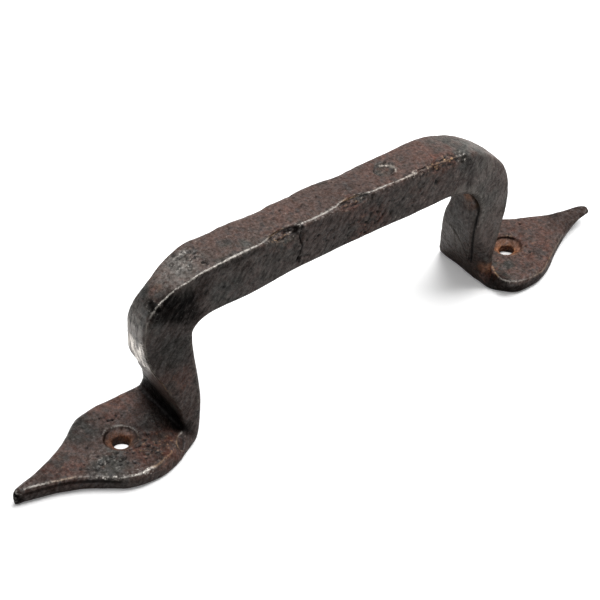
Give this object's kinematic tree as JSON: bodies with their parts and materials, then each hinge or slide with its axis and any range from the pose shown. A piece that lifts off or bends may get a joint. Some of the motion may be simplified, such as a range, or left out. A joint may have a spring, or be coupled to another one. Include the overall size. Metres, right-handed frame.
{
  "type": "pull handle",
  "caption": "Hand-forged iron pull handle with a square grip, bent legs and leaf-shaped plates, each drilled and countersunk for a wood screw.",
  "frame": {"origin": "midway between the two screw holes, on the plane of the plates' undersides, which is the middle of the object's base", "axes": "+X along the grip, towards the end with the rounder bend; +Y across the bar, towards the side where the legs flare most; +Z out of the door, from the plates to the grip"},
  "size_m": [0.23, 0.0342, 0.0621],
  "materials": {
    "forged_iron": "brown-grey forge scale, dull satin, worn bright along the arrises"
  },
  "bodies": {
    "root": {"forged_handle": "forged_iron"}
  },
  "joints": []
}
